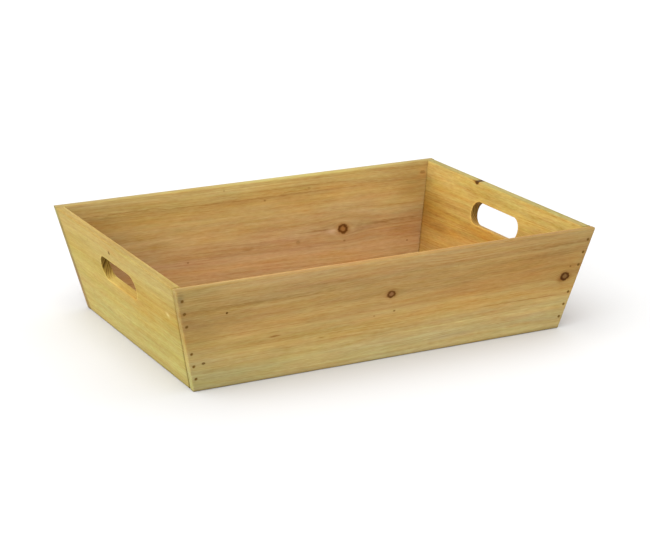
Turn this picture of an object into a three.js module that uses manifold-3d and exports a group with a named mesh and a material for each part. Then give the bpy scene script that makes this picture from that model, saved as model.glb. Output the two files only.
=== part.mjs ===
// Flared wooden tray: four solid boards that lean outwards, butted and nailed at the corners,
// round a thin plywood base that is let into their feet and pinned from below. Each end board has
// a hand hole.
// Millimetres, +Z up. The origin is the centre of the underside, +X runs along the length and
// the front board faces -Y.

import * as THREE from "three";
import { mergeVertices } from "three/addons/utils/BufferGeometryUtils.js";
import Module from "manifold-3d";

const wasm = await Module();
wasm.setup();

const { degToRad } = THREE.MathUtils;

// Walls
const RIM_LENGTH = 420; // over the outer faces, at the rim
const RIM_WIDTH = 304; // over the outer faces, at the rim
const WALL_HEIGHT = 100.5; // upright height of a board, from its foot to the rim
const BOARD_THICKNESS = 8; // square to a board's face
const END_FLARE = degToRad(13.1); // lean of the end boards, from upright
const SIDE_FLARE = degToRad(12); // lean of the front and back boards, from upright
const ARRIS_EASE = 1.2; // how far a board's long edges are rounded over
const JOINT_GAP = 0.2; // hairline between two boards, and between the boards and the base

// Base
const BASE_THICKNESS = 3;
const FOOT_LIP = 2.8; // wood left outside the base, where the foot of a wall is rebated for it

// Hand holes, with full round ends, cut square through the end boards
const HAND_HOLE_LENGTH = 85;
const HAND_HOLE_HEIGHT = 23.2;
const HAND_HOLE_DROP = 20.7; // from the rim down the outer face to the hole's upper edge

// Corner nails, in one column at each end of the front and back boards
const NAIL_LENGTH = 25;
const NAIL_SHANK = 1.3; // diameter
const NAIL_HEAD = 2.3; // diameter
const NAIL_HEAD_THICKNESS = 0.8;
const NAIL_POINT = 1.6; // length of the point
const NAIL_SET = 0.3; // how far a head is punched below the wood
const NAILS_PER_GROUP = 3; // one group hangs from the rim, the other stands on the foot
const NAIL_PITCH = 12.8; // between the nails of a group
const NAIL_RIM_MARGIN = 11; // from the rim down the face to the first nail
const NAIL_FOOT_MARGIN = 12.8; // from the foot up the face to the lowest nail

// Base pins, driven up through the base along the lean of the walls
const PIN_LENGTH = 18;
const PIN_SHANK = 1.2; // diameter
const PIN_HEAD = 2.2; // diameter
const PIN_HEAD_THICKNESS = 0.7;
const PIN_POINT = 1.5;
const PIN_SET = 0.5; // how far a head is punched into the underside
const SIDE_PIN_COUNT = 5;
const END_PIN_COUNT = 3;
const PIN_MARGIN = 40; // from the corner of the walls' foot to the nearest pin
const PIN_EDGE = 2.6; // from the edge of the base in to a pin

const BORE_CLEARANCE = 0.15; // all round a nail or pin in its hole
const NAIL_SIDES = 8;
const ARRIS_STEPS = 3;
const ROUND_END_STEPS = 16;

const FOOT_LENGTH = RIM_LENGTH - 2 * WALL_HEIGHT * Math.tan(END_FLARE);
const FOOT_WIDTH = RIM_WIDTH - 2 * WALL_HEIGHT * Math.tan(SIDE_FLARE);
const BASE_INSET = FOOT_LIP + JOINT_GAP; // from the outer edge of a foot in to the base
const LEFT = -1;
const RIGHT = 1;

const wood = (color) => new THREE.MeshStandardMaterial({ color, roughness: 0.6, metalness: 0 });
const SIDE_WOOD = wood(0xb99a62);
const END_WOOD = wood(0xc8b06c);
const PLYWOOD = wood(0xc9a878);
const NAIL_STEEL = new THREE.MeshStandardMaterial({ color: 0x4a4038, roughness: 0.5, metalness: 0.9 });

// A closed solid from a geometry, and back again.
function toSolid(geometry) {
  const bare = geometry.clone();
  bare.deleteAttribute("normal");
  bare.deleteAttribute("uv");
  const merged = mergeVertices(bare);
  return new wasm.Manifold(
    new wasm.Mesh({
      numProp: 3,
      vertProperties: new Float32Array(merged.getAttribute("position").array),
      triVerts: new Uint32Array(merged.getIndex().array),
    }),
  );
}

function toGeometry(solid) {
  const { vertProperties, triVerts } = solid.getMesh();
  const geometry = new THREE.BufferGeometry();
  geometry.setAttribute("position", new THREE.BufferAttribute(vertProperties, 3));
  geometry.setIndex(new THREE.BufferAttribute(triVerts, 1));
  geometry.computeVertexNormals();
  return geometry;
}

// A polygon whose corners are rounded over by curves that start `ease` from each corner.
function easedPolygon(corners, ease) {
  const shape = new THREE.Shape();
  corners.forEach((corner, i) => {
    const before = corners.at(i - 1);
    const after = corners[(i + 1) % corners.length];
    const start = corner.clone().add(before.clone().sub(corner).setLength(ease));
    const end = corner.clone().add(after.clone().sub(corner).setLength(ease));
    if (i === 0) shape.moveTo(start.x, start.y);
    else shape.lineTo(start.x, start.y);
    shape.quadraticCurveTo(corner.x, corner.y, end.x, end.y);
  });
  shape.closePath();
  return shape;
}

// One board in its wall's frame: it runs along X, leans out towards -Y and stands on Z 0 with the
// outer edge of its foot on Y 0. Foot and rim are cut level. Its section is carried along the
// length, and both ends are then sawn to the lean of the neighbouring walls.
function flaredBoard(flare, footHalfLength, endFlare) {
  const acrossLevel = BOARD_THICKNESS / Math.cos(flare);
  const rimShift = -WALL_HEIGHT * Math.tan(flare);
  const section = easedPolygon(
    [
      new THREE.Vector2(0, 0),
      new THREE.Vector2(acrossLevel, 0),
      new THREE.Vector2(rimShift + acrossLevel, WALL_HEIGHT),
      new THREE.Vector2(rimShift, WALL_HEIGHT),
    ],
    ARRIS_EASE,
  );
  const rimHalfLength = footHalfLength + WALL_HEIGHT * Math.tan(endFlare);
  const stock = 2 * Math.max(footHalfLength, rimHalfLength) + BOARD_THICKNESS;
  const blank = new THREE.ExtrudeGeometry(section, {
    depth: stock,
    bevelEnabled: false,
    curveSegments: ARRIS_STEPS,
  });
  blank.translate(0, 0, -stock / 2);
  blank.applyMatrix4(
    new THREE.Matrix4().makeBasis(
      new THREE.Vector3(0, 1, 0),
      new THREE.Vector3(0, 0, 1),
      new THREE.Vector3(1, 0, 0),
    ),
  );
  return [LEFT, RIGHT].reduce((board, end) => {
    const saw = new THREE.BoxGeometry(stock, stock, stock);
    saw.translate((end * stock) / 2, 0, 0);
    saw.rotateY(end * endFlare);
    saw.translate(end * footHalfLength, 0, 0);
    return board.subtract(toSolid(saw));
  }, toSolid(blank));
}

// The hand hole's cutter in an end wall's frame: a slot with round ends, square to the leaning face.
function handHole() {
  const radius = HAND_HOLE_HEIGHT / 2;
  const straight = HAND_HOLE_LENGTH / 2 - radius;
  const outline = new THREE.Shape();
  outline.absarc(straight, 0, radius, -Math.PI / 2, Math.PI / 2);
  outline.absarc(-straight, 0, radius, Math.PI / 2, (3 * Math.PI) / 2);
  const reach = 2 * BOARD_THICKNESS;
  const cutter = new THREE.ExtrudeGeometry(outline, {
    depth: 2 * reach,
    bevelEnabled: false,
    curveSegments: ROUND_END_STEPS,
  });
  cutter.translate(0, 0, -reach);
  cutter.rotateX(Math.PI / 2 + END_FLARE);
  const down = HAND_HOLE_DROP + radius;
  cutter.translate(0, ...facePoint(END_FLARE, down));
  return toSolid(cutter);
}

// Y and Z, in a wall's frame, of a point `down` from the rim on the outer face.
function facePoint(flare, down) {
  const z = WALL_HEIGHT - down * Math.cos(flare);
  return [-z * Math.tan(flare), z];
}

// A round nail along +Y, with the top of its head on Y 0 and its point at Y `length`.
// `grow` makes the same form larger all round, and `mouth` carries its head out past Y 0.
function nailForm({ length, shank, head, headThickness, point }, grow = 0, mouth = 0) {
  const shankRadius = shank / 2 + grow;
  const headRadius = head / 2 + grow;
  const underHead = headThickness + grow;
  const profile = [
    [0, -mouth],
    [headRadius, -mouth],
    [headRadius, underHead],
    [shankRadius, underHead],
    [shankRadius, length - point],
    [0, length + grow],
  ];
  return new THREE.LatheGeometry(
    profile.map(([radius, along]) => new THREE.Vector2(radius, along)),
    NAIL_SIDES,
  );
}

const CORNER_NAIL = {
  length: NAIL_LENGTH,
  shank: NAIL_SHANK,
  head: NAIL_HEAD,
  headThickness: NAIL_HEAD_THICKNESS,
  point: NAIL_POINT,
};
const BASE_PIN = {
  length: PIN_LENGTH,
  shank: PIN_SHANK,
  head: PIN_HEAD,
  headThickness: PIN_HEAD_THICKNESS,
  point: PIN_POINT,
};

// A nail or pin as a mesh that also carries the form of its hole.
function nailMesh(name, sizes) {
  const nail = new THREE.Mesh(nailForm(sizes), NAIL_STEEL);
  nail.name = name;
  nail.userData.bore = nailForm(sizes, BORE_CLEARANCE, BOARD_THICKNESS);
  return nail;
}

// Takes these cutters, which stand where they cut the tray, out of a piece.
function cut(piece, cutters) {
  const toPiece = piece.matrixWorld.clone().invert();
  const rest = cutters.reduce(
    (solid, cutter) => solid.subtract(toSolid(cutter.clone().applyMatrix4(toPiece))),
    toSolid(piece.geometry),
  );
  piece.geometry = toGeometry(rest);
}

// The holes of these nails, where they stand in the tray.
function bores(...nails) {
  return nails.flat().map((nail) => nail.userData.bore.clone().applyMatrix4(nail.matrixWorld));
}

const tray = new THREE.Group();

// Adds a wall's group, turned to face its side, with its board in it.
function addWall({ name, solid, material, turn, footReach }) {
  const wall = new THREE.Group();
  wall.rotation.z = turn;
  const board = new THREE.Mesh(toGeometry(solid), material);
  board.name = name;
  board.position.y = -footReach;
  wall.add(board);
  tray.add(wall);
  return board;
}

const endInset = BOARD_THICKNESS / Math.cos(SIDE_FLARE) + JOINT_GAP;
const sideSolid = flaredBoard(SIDE_FLARE, FOOT_LENGTH / 2, END_FLARE);
const endSolid = flaredBoard(END_FLARE, FOOT_WIDTH / 2 - endInset, SIDE_FLARE).subtract(handHole());

const side = { solid: sideSolid, material: SIDE_WOOD, footReach: FOOT_WIDTH / 2 };
const end = { solid: endSolid, material: END_WOOD, footReach: FOOT_LENGTH / 2 };
const front = addWall({ ...side, name: "front_board", turn: 0 });
const right = addWall({ ...end, name: "right_end_board", turn: Math.PI / 2 });
const back = addWall({ ...side, name: "back_board", turn: Math.PI });
const left = addWall({ ...end, name: "left_end_board", turn: -Math.PI / 2 });

// A slab on the tray's underside that keeps `inset` from the outer edges of the feet.
function footSlab(inset, top, bottom = 0) {
  const slab = new THREE.BoxGeometry(FOOT_LENGTH - 2 * inset, FOOT_WIDTH - 2 * inset, top - bottom);
  return slab.translate(0, 0, (top + bottom) / 2);
}

const base = new THREE.Mesh(footSlab(BASE_INSET, BASE_THICKNESS), PLYWOOD);
base.name = "base_panel";
tray.add(base);
const rebate = footSlab(FOOT_LIP, BASE_THICKNESS + JOINT_GAP, -BASE_THICKNESS);

// A column of nails at one end of a side board, square to its face and over the middle of the
// end board's thickness.
function cornerNails(board, end, corner) {
  const slant = WALL_HEIGHT / Math.cos(SIDE_FLARE);
  const steps = Array.from({ length: NAILS_PER_GROUP }, (_, i) => i * NAIL_PITCH);
  const drops = [
    ...steps.map((step) => NAIL_RIM_MARGIN + step),
    ...steps.map((step) => slant - NAIL_FOOT_MARGIN - step).reverse(),
  ];
  return drops.map((down, i) => {
    const [y, z] = facePoint(SIDE_FLARE, down);
    const intoEnd = BOARD_THICKNESS / Math.cos(END_FLARE) / 2;
    const nail = nailMesh(`${corner}_nail_${i + 1}`, CORNER_NAIL);
    nail.rotation.x = SIDE_FLARE;
    nail.position.set(end * (FOOT_LENGTH / 2 + z * Math.tan(END_FLARE) - intoEnd), y, z);
    nail.translateY(NAIL_SET);
    board.add(nail);
    return nail;
  });
}

// A row of pins along the foot of a wall, leaning with it, through the base and up into its board.
function basePins(board, flare, footLength, count, edge) {
  const first = -footLength / 2 + PIN_MARGIN;
  const pitch = (footLength - 2 * PIN_MARGIN) / (count - 1);
  return Array.from({ length: count }, (_, i) => {
    const pin = nailMesh(`${edge}_base_pin_${i + 1}`, BASE_PIN);
    pin.rotation.x = Math.PI / 2 + flare;
    pin.position.set(first + i * pitch, BASE_INSET + PIN_EDGE, 0);
    pin.translateY(PIN_SET);
    board.add(pin);
    return pin;
  });
}

const frontLeft = cornerNails(front, LEFT, "front_left");
const frontRight = cornerNails(front, RIGHT, "front_right");
const backRight = cornerNails(back, LEFT, "back_right");
const backLeft = cornerNails(back, RIGHT, "back_left");
const frontPins = basePins(front, SIDE_FLARE, FOOT_LENGTH, SIDE_PIN_COUNT, "front");
const backPins = basePins(back, SIDE_FLARE, FOOT_LENGTH, SIDE_PIN_COUNT, "back");
const leftPins = basePins(left, END_FLARE, FOOT_WIDTH, END_PIN_COUNT, "left");
const rightPins = basePins(right, END_FLARE, FOOT_WIDTH, END_PIN_COUNT, "right");

tray.updateMatrixWorld(true);
cut(front, [rebate, ...bores(frontLeft, frontRight, frontPins)]);
cut(back, [rebate, ...bores(backLeft, backRight, backPins)]);
cut(left, [rebate, ...bores(frontLeft, backLeft, leftPins)]);
cut(right, [rebate, ...bores(frontRight, backRight, rightPins)]);
cut(base, bores(frontPins, backPins, leftPins, rightPins));

export default tray;
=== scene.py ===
"""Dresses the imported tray: planed softwood boards with eased edges, a plywood base, punched
nails and a plain stage."""

import math
from dataclasses import dataclass

import bpy
import numpy as np
from bpy.props import FloatProperty, FloatVectorProperty, PointerProperty
from bpy.types import Node, NodeSocket, Operator, Panel, PropertyGroup
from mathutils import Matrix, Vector


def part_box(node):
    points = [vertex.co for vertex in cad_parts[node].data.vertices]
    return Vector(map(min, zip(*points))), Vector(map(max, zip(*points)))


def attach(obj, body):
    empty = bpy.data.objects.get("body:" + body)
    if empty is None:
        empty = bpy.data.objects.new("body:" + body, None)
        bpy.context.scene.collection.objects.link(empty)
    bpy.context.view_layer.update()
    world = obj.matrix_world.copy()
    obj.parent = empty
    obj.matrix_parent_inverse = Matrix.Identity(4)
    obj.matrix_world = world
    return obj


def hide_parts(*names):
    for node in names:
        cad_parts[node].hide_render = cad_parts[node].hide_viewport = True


bl_info = {
    "name": "Flared Wooden Tray",
    "version": (1, 0, 0),
    "blender": (4, 5, 0),
    "location": "3D View > Sidebar > Tray",
    "description": "Surfaces and finishes for a nailed wooden tray with leaning walls",
    "category": "Add Mesh",
}

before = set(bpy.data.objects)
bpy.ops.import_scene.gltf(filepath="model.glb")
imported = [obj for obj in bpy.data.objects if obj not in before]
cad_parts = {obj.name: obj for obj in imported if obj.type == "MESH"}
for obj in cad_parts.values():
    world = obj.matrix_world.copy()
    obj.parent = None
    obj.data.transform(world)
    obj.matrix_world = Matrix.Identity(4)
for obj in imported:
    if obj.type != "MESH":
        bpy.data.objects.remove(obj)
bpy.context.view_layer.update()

MM = 0.001
BODY = "root"
IMAGE_WIDTH = 650

FRONT_LOW, FRONT_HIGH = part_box("front_board")
BASE_LOW, BASE_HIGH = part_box("base_panel")
WALL_HEIGHT = FRONT_HIGH.z - FRONT_LOW.z
FOOT_LEVEL = FRONT_LOW.z
BASE_THICKNESS = BASE_HIGH.z - BASE_LOW.z


def linear(hex_colour):
    """The linear RGB of an sRGB hex colour."""
    shares = [int(hex_colour[i : i + 2], 16) / 255 for i in (1, 3, 5)]
    return tuple(s / 12.92 if s <= 0.04045 else ((s + 0.055) / 1.055) ** 2.4 for s in shares)


def colour(name, description, hex_colour):
    """A colour property with an sRGB hex default."""
    default = linear(hex_colour)
    return FloatVectorProperty(
        name=name, description=description, default=default, size=3, min=0, max=1, subtype="COLOR"
    )


def length(name, description, millimetres):
    """A length property with a default in millimetres."""
    default = millimetres * MM
    return FloatProperty(name=name, description=description, default=default, min=0, unit="LENGTH")


def angle(name, description, degrees):
    """An angle property with a default in degrees."""
    default = math.radians(degrees)
    return FloatProperty(name=name, description=description, default=default, subtype="ANGLE")


# Settings that a user may change
class TraySizes(PropertyGroup):
    """Sizes of the boards and of the cuts in them."""

    board_thickness: length("Board thickness", "Thickness square to a board's face", 8)
    side_flare: angle("Side flare", "Lean of the front and back", 12)
    end_flare: angle("End flare", "Lean of the two ends", 13.1)
    foot_lip: length("Foot lip", "Wood left outside the base at the foot of a wall", 2.8)
    joint_gap: length("Joint gap", "Hairline between pieces that meet", 0.2)
    arris: length("Arris", "Radius that sanding gave the long edges", 1.1)
    joint_arris: length("Joint arris", "Radius of the edges that meet in a corner joint", 0.45)
    hole_arris: length("Hole arris", "Radius of the hand hole's edges", 0.6)
    hole_length: length("Hand hole length", "End to end", 85)
    hole_height: length("Hand hole height", "Its ends are half round", 23.2)
    hole_drop: length("Hand hole drop", "From the rim down the outer face to the hole", 20.7)


class TrayColours(PropertyGroup):
    """Colours of the wood in bands from rim to foot, and of the other finishes."""

    front_upper: colour("Front, upper", "Greyer band under the rim", "#9E8050")
    front_shoulder: colour("Front, shoulder", "Browner band below it", "#987948")
    front_middle: colour("Front, middle", "Orange-tan heart of the board", "#A88850")
    front_lower: colour("Front, lower", "Paler, greener sapwood", "#A99561")
    back_upper: colour("Back, upper", "Yellow band under the rim", "#A58C55")
    back_shoulder: colour("Back, shoulder", "Tan", "#A7864C")
    back_middle: colour("Back, middle", "Tan heart of the board", "#AB8D5B")
    back_lower: colour("Back, lower", "Pinkish lower part", "#967149")
    left_upper: colour("Left end, upper", "Palest board", "#A48E4F")
    left_shoulder: colour("Left end, shoulder", "Palest board", "#A08942")
    left_middle: colour("Left end, middle", "Palest board", "#A79653")
    left_lower: colour("Left end, lower", "Palest board", "#A59454")
    right_upper: colour("Right end, upper", "Golden board", "#B19553")
    right_shoulder: colour("Right end, shoulder", "Golden board", "#A38343")
    right_middle: colour("Right end, middle", "Golden board", "#9C7633")
    right_lower: colour("Right end, lower", "Golden board", "#A37D40")
    knot_bark: colour("Knot bark", "Dark ring round a knot", "#50300B")
    knot_heart: colour("Knot heart", "Branch wood inside a knot", "#7C5E38")
    plywood: colour("Plywood", "Face veneer of the base", "#A88A62")
    nail_steel: colour("Nail steel", "Dulled wire nails", "#70521F")
    floor: colour("Floor", "Pale studio floor", "#C6C6C6")


class TrayStage(PropertyGroup):
    """Camera and light."""

    azimuth: angle("Azimuth", "Camera, round from the front", -27.07)
    elevation: angle("Elevation", "Camera, above the floor", 17.39)
    distance: length("Distance", "Camera to the point that it looks at", 1817.6)
    look_right: length("Look right", "How far right of the tray's middle the camera looks", 6.6)
    look_up: length("Look up", "Height of the point that the camera looks at", 41.05)
    focal_pixels: FloatProperty(
        name="Focal length", description="In pixels of the picture", default=1904, subtype="PIXEL"
    )
    key_strength: FloatProperty(name="Key", description="Broad soft light from the left", default=4.7)
    back_strength: FloatProperty(name="Back", description="Soft light from behind, right", default=1.6)
    softness: angle("Softness", "How wide each light looks from the tray", 100)
    sky: FloatProperty(name="Sky", description="Strength of the even light all round", default=0.6)


# The frames of the four walls
@dataclass(frozen=True)
class Wall:
    """One leaning wall in its own frame: it runs along X, faces -Y and stands on its foot."""

    board: str
    turn: float
    flare: float
    end_flare: float
    reach: float
    half_length: float

    def half(self, up):
        """Half of the board's length at a height above its foot: half_length + up * tan(end_flare)."""
        return self.half_length + up * math.tan(self.end_flare)

    def turned(self):
        """Cosine and sine of the wall's turn."""
        return math.cos(self.turn), math.sin(self.turn)

    def slant(self):
        """The length of the board's outer face from rim to foot."""
        return WALL_HEIGHT / math.cos(self.flare)

    def place(self, x, up, depth):
        """Points of the tray. A level line through the wall moves out by tan(flare) for each step up,
        and in by 1 / cos(flare) for each step of depth below the outer face; the wall is then turned
        to its side."""
        y = depth / math.cos(self.flare) - self.reach - up * math.tan(self.flare)
        c, s = self.turned()
        return np.stack([x * c - y * s, x * s + y * c, FOOT_LEVEL + up], axis=-1)

    def flat(self, points):
        """X and height above the foot, in the wall's frame, of points of the tray."""
        c, s = self.turned()
        return np.stack([points[:, 0] * c + points[:, 1] * s, points[:, 2] - FOOT_LEVEL], axis=-1)

    def into(self):
        """The direction square into the wall."""
        level = math.cos(self.flare)
        c, s = self.turned()
        return np.array([-level * s, level * c, math.sin(self.flare)])

    def lip(self, up, sizes):
        """Depth at which the rebate for the base begins: its side stands upright, so the lip
        grows with height, as (foot_lip + up * tan(flare)) * cos(flare)."""
        return (sizes.foot_lip + up * math.tan(self.flare)) * math.cos(self.flare)

    def on_board(self, flat):
        """Millimetres along the board, down from its rim and in from its face, of x, height and
        depth."""
        down = (WALL_HEIGHT - flat[:, 1]) / math.cos(self.flare)
        return flat[:, 0] / MM, down / MM, flat[:, 2] / MM


def tray_walls(sizes):
    """The four walls. Their foot is the base grown by its lip and gap; the end boards fit
    between the side boards."""
    inset = sizes.foot_lip + sizes.joint_gap
    foot_x = BASE_HIGH.x + inset
    foot_y = BASE_HIGH.y + inset
    between = foot_y - sizes.board_thickness / math.cos(sizes.side_flare) - sizes.joint_gap
    side = dict(flare=sizes.side_flare, end_flare=sizes.end_flare, reach=foot_y, half_length=foot_x)
    end = dict(flare=sizes.end_flare, end_flare=sizes.side_flare, reach=foot_x, half_length=between)
    return {
        "front": Wall("front_board", 0.0, **side),
        "right": Wall("right_end_board", math.pi / 2, **end),
        "back": Wall("back_board", math.pi, **side),
        "left": Wall("left_end_board", -math.pi / 2, **end),
    }


# The wood of each board, with its marks and tones
@dataclass(frozen=True)
class Mark:
    """A knot, streak or nail, in millimetres along the board and down from its rim, with its
    half-sizes."""

    along: float
    down: float
    wide: float
    high: float
    dark: float


@dataclass(frozen=True)
class Patch:
    """A soft cloud of another tone, in the same millimetres; the tint multiplies the wood's colour."""

    along: float
    down: float
    wide: float
    high: float
    tint: tuple


@dataclass(frozen=True)
class Timber:
    """How a board was cut from the log, in millimetres: where the pith lies, how wide the rings are,
    how far the grain slopes along the board, how strongly its rings and its uneven tone show, at what
    shares of its height its four colours lie, its marks, the tint of its rim with how much lighter its
    outer and inner edges are painted, as painted shade and painted highlight, the tints of its sawn
    ends, and how far the lower corner at its far end is broken off. Along runs as its wall's X does."""

    pith_down: float
    pith_depth: float
    ring: float
    slope: float
    shift: float
    figure: float
    bands: tuple
    mottle: float = 1.0
    knots: tuple = ()
    pins: tuple = ()
    streaks: tuple = ()
    patches: tuple = ()
    rim: tuple = (1.0, 1.0, 1.0)
    # Lightness painted along the rim's outer and inner edges: painted shade below 1, painted highlight
    # above
    rim_edge_light: tuple = (1.0, 1.0)
    ends: tuple = ((1.0, 1.0, 1.0), (1.0, 1.0, 1.0))
    chip: float = 0.0


FRONT_TIMBER = Timber(
    pith_down=46,
    pith_depth=52,
    ring=1.9,
    slope=0.01,
    shift=0,
    figure=0.8,
    bands=(0.1, 0.3, 0.55, 0.85),
    knots=(Mark(184.2, 47.0, 4.9, 4.5, 1.0), Mark(-1.2, 36.3, 4.2, 3.8, 0.92)),
    pins=(
        Mark(3.9, 53.8, 1.1, 0.9, 0.6),
        Mark(-161.2, 28.8, 1.0, 1.0, 1.0),
        Mark(-179.5, 75.3, 1.6, 1.2, 0.75),
        Mark(188.7, 36.9, 1.0, 0.9, 0.5),
        Mark(-16.2, 56.0, 1.0, 0.8, 0.3),
    ),
    streaks=(
        Mark(-113.8, 59.7, 7.0, 1.4, 1.0),
        Mark(-67.4, 69.0, 5.0, 1.2, 0.5),
        Mark(-120, 23.0, 120, 3.0, 0.3),
        Mark(170, 12.0, 60, 2.6, 0.35),
        Mark(150, 65.5, 95, 1.0, 0.35),
    ),
    patches=(
        Patch(-215, 30, 45, 50, (0.86, 0.88, 0.82)),
        Patch(-200, 92, 80, 24, (0.80, 0.88, 0.94)),
        Patch(215, 25, 50, 50, (0.84, 0.86, 0.80)),
        Patch(215, 95, 45, 20, (0.82, 0.84, 0.92)),
        Patch(130, 28, 60, 14, (1.0, 0.91, 0.76)),
        Patch(150, 22, 70, 2, (0.9, 0.86, 0.8)),
        Patch(120, 78.5, 90, 4, (1.12, 1.16, 1.18)),
        Patch(-140, 74, 70, 2.5, (1.06, 1.12, 1.16)),
        Patch(-140, 28.5, 60, 4, (1.10, 1.17, 1.22)),
        Patch(-145, 13.5, 60, 4, (0.92, 0.91, 0.86)),
        Patch(-140, 61, 62, 9, (0.90, 0.89, 0.85)),
        Patch(-140, 90, 62, 7, (0.91, 0.91, 0.89)),
        Patch(140, 0.5, 60, 3.5, (0.84, 0.82, 0.82)),
        Patch(140, 48, 60, 5, (0.93, 0.90, 0.85)),
        Patch(172, 43, 12, 4, (0.98, 1.05, 1.12)),
        Patch(184, 48, 10, 8, (0.92, 0.85, 0.76)),
        Patch(180.2, 50, 4, 3, (0.72, 0.60, 0.46)),
        Patch(-190, 0, 90, 3, (1.0, 1.08, 1.12)),
        Patch(-205.4, 9, 3.5, 6.5, (0.76, 0.78, 0.86)),
        Patch(194, 27, 15, 9, (1.22, 1.22, 1.15)),
        Patch(-1.2, 36.3, 5.0, 4.4, (0.98, 0.8, 0.78)),
        Patch(-184, 54, 24, 11, (0.86, 0.89, 0.88)),
        Patch(-186, 7, 20, 6, (0.91, 0.92, 0.9)),
    ),
    rim=(0.84, 0.80, 0.66),
    rim_edge_light=(0.92, 1.95),
    ends=((1.14, 1.24, 1.12), (0.72, 0.82, 0.92)),
)
BACK_TIMBER = Timber(
    pith_down=58,
    pith_depth=-46,
    ring=2.1,
    slope=0.012,
    shift=300,
    figure=0.6,
    bands=(0.07, 0.2, 0.45, 0.7),
    knots=(Mark(-94.6, 59.4, 5.6, 5.2, 0.95),),
    pins=(
        Mark(80.4, 71.5, 1.1, 0.9, 0.4),
        Mark(-42.0, 66.8, 2.4, 1.8, 0.22),
        Mark(-95.0, 71.6, 1.3, 1.0, 0.35),
        Mark(-9.6, 19.9, 1.3, 1.0, 0.35),
        Mark(33.9, 5.0, 1.1, 0.9, 0.3),
        Mark(-60.4, 13.0, 1.8, 1.2, 0.2),
        Mark(-194.3, 11.7, 3.0, 1.8, 0.34),
        Mark(-168.4, 80.6, 1.1, 0.9, 0.45),
    ),
    streaks=(
        Mark(-64, 58.0, 27, 1.3, 0.7),
        Mark(-148, 57.3, 44, 2.2, 0.6),
        Mark(15.1, 66.9, 9, 2.2, 0.45),
        Mark(-30, 10.2, 120, 1.0, 0.3),
        Mark(-20, 17.0, 160, 1.2, 0.4),
        Mark(140, 14.0, 66, 1.2, 0.55),
    ),
    patches=(
        # Painted shade: both ends of the inner face are made darker, where the corners shade it
        Patch(-200, 40, 40, 60, (0.88, 0.82, 0.74)),
        Patch(200, 40, 60, 60, (0.9, 0.88, 0.9)),
        Patch(0, 17.5, 400, 3, (0.94, 0.88, 0.82)),
        # Painted light: the lowest band is brightened against the shade near the base
        Patch(0, 92, 400, 22, (1.4, 1.55, 1.6)),
        Patch(-40, 1, 60, 3.5, (1.12, 1.16, 1.12)),
        Patch(-40, 14, 50, 2.5, (1.05, 1.10, 1.16)),
        Patch(-110, 59, 22, 7.5, (0.80, 0.75, 0.67)),
        Patch(-75, 55.5, 15, 4, (0.90, 0.88, 0.85)),
        Patch(-145, 74, 24, 4, (1.10, 1.12, 1.13)),
        Patch(-82.4, 60.2, 5.5, 2.4, (1.32, 1.46, 1.9)),
        Patch(-106, 60.5, 4.5, 2.4, (1.2, 1.26, 1.36)),
        Patch(-94.6, 59.4, 5.0, 4.6, (1.32, 1.04, 0.74)),
        Patch(-194.3, 11.7, 5.0, 3.4, (1.12, 0.97, 0.9)),
        Patch(-184, 28, 24, 17, (0.87, 0.87, 0.86)),
        Patch(160, 13, 36, 5, (1.11, 1.1, 1.14)),
        Patch(-84, 47, 22, 5, (0.94, 0.91, 0.84)),
    ),
    rim=(0.84, 0.92, 0.88),
    rim_edge_light=(0.8, 1.0),
    ends=((0.72, 0.89, 0.82), (0.72, 0.89, 0.82)),
)
LEFT_TIMBER = Timber(
    pith_down=70,
    pith_depth=60,
    ring=2.3,
    slope=0.02,
    shift=640,
    figure=0.45,
    bands=(0.1, 0.35, 0.62, 0.9),
    mottle=0.9,
    pins=(Mark(-9.8, 10.6, 2.0, 1.8, 0.75), Mark(-65.9, 12.8, 0.8, 1.2, 0.3)),
    patches=(
        Patch(52, 48, 32, 14, (1.02, 0.93, 0.80)),
        Patch(140, 50, 30, 60, (0.95, 0.97, 0.95)),
        Patch(114.9, 34, 3.4, 2.6, (1.4, 1.65, 2.8)),
        Patch(12, 43.6, 30, 2.6, (0.97, 0.85, 0.74)),
        Patch(95, 10, 45, 3, (1.08, 1.10, 1.12)),
        Patch(95, 26, 45, 3, (1.07, 1.09, 1.11)),
        Patch(95, 63, 45, 4, (0.93, 0.95, 0.96)),
        Patch(-95, 17, 45, 7, (0.99, 0.95, 0.88)),
        Patch(-95, 52, 45, 13, (1.06, 1.06, 1.05)),
        Patch(-95, 82, 45, 7, (1.09, 1.10, 1.10)),
        Patch(-6, 51, 52, 8, (1.17, 1.12, 1.2)),
        Patch(-20, 80, 46, 5, (1.13, 1.1, 1.14)),
    ),
    rim=(0.85, 0.82, 0.78),
    rim_edge_light=(0.95, 1.3),
    chip=1.8,
)
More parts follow.
